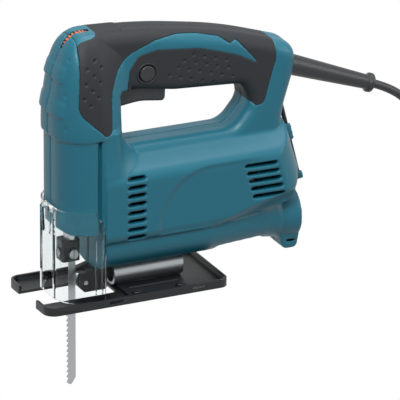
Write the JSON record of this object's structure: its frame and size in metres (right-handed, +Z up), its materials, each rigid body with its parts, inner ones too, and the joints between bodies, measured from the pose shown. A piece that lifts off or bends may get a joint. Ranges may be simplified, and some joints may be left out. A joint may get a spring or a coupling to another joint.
{
  "type": "corded jigsaw",
  "caption": "Corded jigsaw with a closed handle, a reciprocating wood blade in a clear chip guard, a bevelling steel base and a cord with plug.",
  "frame": {"origin": "on the sole plane, on the tool's centre plane, at the middle of the blade", "axes": "+X from the blade to the rear of the tool, +Y to its right side, +Z up out of the work"},
  "size_m": [0.4285, 0.103, 0.274],
  "materials": {
    "housing_shell": "satin moulded",
    "soft_grip": "matt overmoulded",
    "black_plastic": "matt",
    "dial_plastic": "satin",
    "clear_plastic": "clear moulded",
    "cast_alloy": "as cast",
    "sintered_bronze": "plain",
    "steel": "ground",
    "zinc_steel": "zinc plated",
    "blued_steel": "black finish",
    "base_paint": "black powder coat",
    "laminations": "stacked sheet",
    "copper": "enamelled wire and bars",
    "carbon": "pressed",
    "cord_rubber": "smooth",
    "brass_pins": "nickel plated"
  },
  "bodies": {
    "housing": {"housing_left": "housing_shell", "housing_right": "housing_shell", "grip_left": "soft_grip", "grip_right": "soft_grip", "housing_screws": "zinc_steel", "gear_case": "cast_alloy", "plunger_bushes": "sintered_bronze", "gear_shaft": "steel", "stator_core": "laminations", "field_coils": "copper", "front_bearing": "steel", "rear_bearing": "steel", "brush_holders": "sintered_bronze", "carbon_brushes": "carbon", "switch_body": "black_plastic", "speed_controller": "black_plastic", "base_clamp_bolt": "zinc_steel", "base_clamp_nut": "zinc_steel", "cord_guard": "cord_rubber", "cord_clamp": "black_plastic", "cord_clamp_screws": "zinc_steel", "inner_lead": "cord_rubber", "power_cord": "cord_rubber", "cord_coil": "cord_rubber", "cord_tie": "black_plastic", "plug_body": "cord_rubber", "plug_pins": "brass_pins"},
    "armature": {"armature_shaft": "steel", "armature_core": "laminations", "armature_windings": "copper", "commutator": "copper", "cooling_fan": "black_plastic"},
    "crank_gear": {"drive_gear": "steel"},
    "plunger": {"plunger_rod": "steel", "blade_clamp": "blued_steel", "clamp_screws": "zinc_steel", "saw_blade": "steel"},
    "trigger": {"trigger": "soft_grip"},
    "lock_button": {"lock_button": "black_plastic"},
    "speed_dial": {"speed_dial": "dial_plastic"},
    "chip_guard": {"chip_guard": "clear_plastic"},
    "retainer": {"blade_retainer": "blued_steel", "roller_pin": "steel"},
    "roller": {"guide_roller": "steel"},
    "base": {"base_plate": "base_paint", "bevel_barrel": "zinc_steel", "base_rivets": "zinc_steel"},
    "hex_wrench": {"hex_wrench": "blued_steel"}
  },
  "joints": [
    {"name": "armature_spin", "type": "hinge", "parent": "housing", "child": "armature", "pos_m": [0.09, 0, 0.072], "axis": [1, 0, 0], "continuous": true},
    {"name": "gear_spin", "type": "hinge", "parent": "housing", "child": "crank_gear", "pos_m": [0.016, 0, 0.099], "axis": [1, 0, 0], "continuous": true},
    {"name": "plunger_stroke", "type": "slide", "parent": "housing", "child": "plunger", "axis": [0, 0, 1], "range_m": [-0.009, 0.009]},
    {"name": "trigger_pull", "type": "slide", "parent": "housing", "child": "trigger", "axis": [0, 0, 1], "range_m": [0, 0.006], "stiffness_N_per_m": 600},
    {"name": "lock_button_press", "type": "slide", "parent": "housing", "child": "lock_button", "axis": [0, 1, 0], "range_m": [0, 0.003], "stiffness_N_per_m": 400},
    {"name": "speed_dial_turn", "type": "hinge", "parent": "housing", "child": "speed_dial", "pos_m": [0.008, 0, 0.1885], "axis": [0, 1, 0], "range_deg": [-130, 130]},
    {"name": "retainer_adjust", "type": "slide", "parent": "housing", "child": "retainer", "axis": [1, 0, 0], "range_m": [0, 0.004]},
    {"name": "roller_spin", "type": "hinge", "parent": "retainer", "child": "roller", "pos_m": [0.00825, 0, 0.0103], "axis": [0, 1, 0], "continuous": true},
    {"name": "base_bevel", "type": "hinge", "parent": "housing", "child": "base", "pos_m": [0.0585, 0, 0.011], "axis": [1, 0, 0], "range_deg": [0, 45]},
    {"name": "chip_guard_lift", "type": "slide", "parent": "housing", "child": "chip_guard", "axis": [0, 0, 1], "range_m": [0, 0.0345]},
    {"name": "hex_wrench_pull", "type": "slide", "parent": "housing", "child": "hex_wrench", "axis": [0.9715, 0, 0.2371], "range_m": [0, 0.02]}
  ],
  "couplings": [
    {"joint": "gear_spin", "follows": "armature_spin", "ratio": -0.25},
    {"joint": "chip_guard_lift", "follows": "base_bevel", "m_per_rad": 0.043}
  ]
}
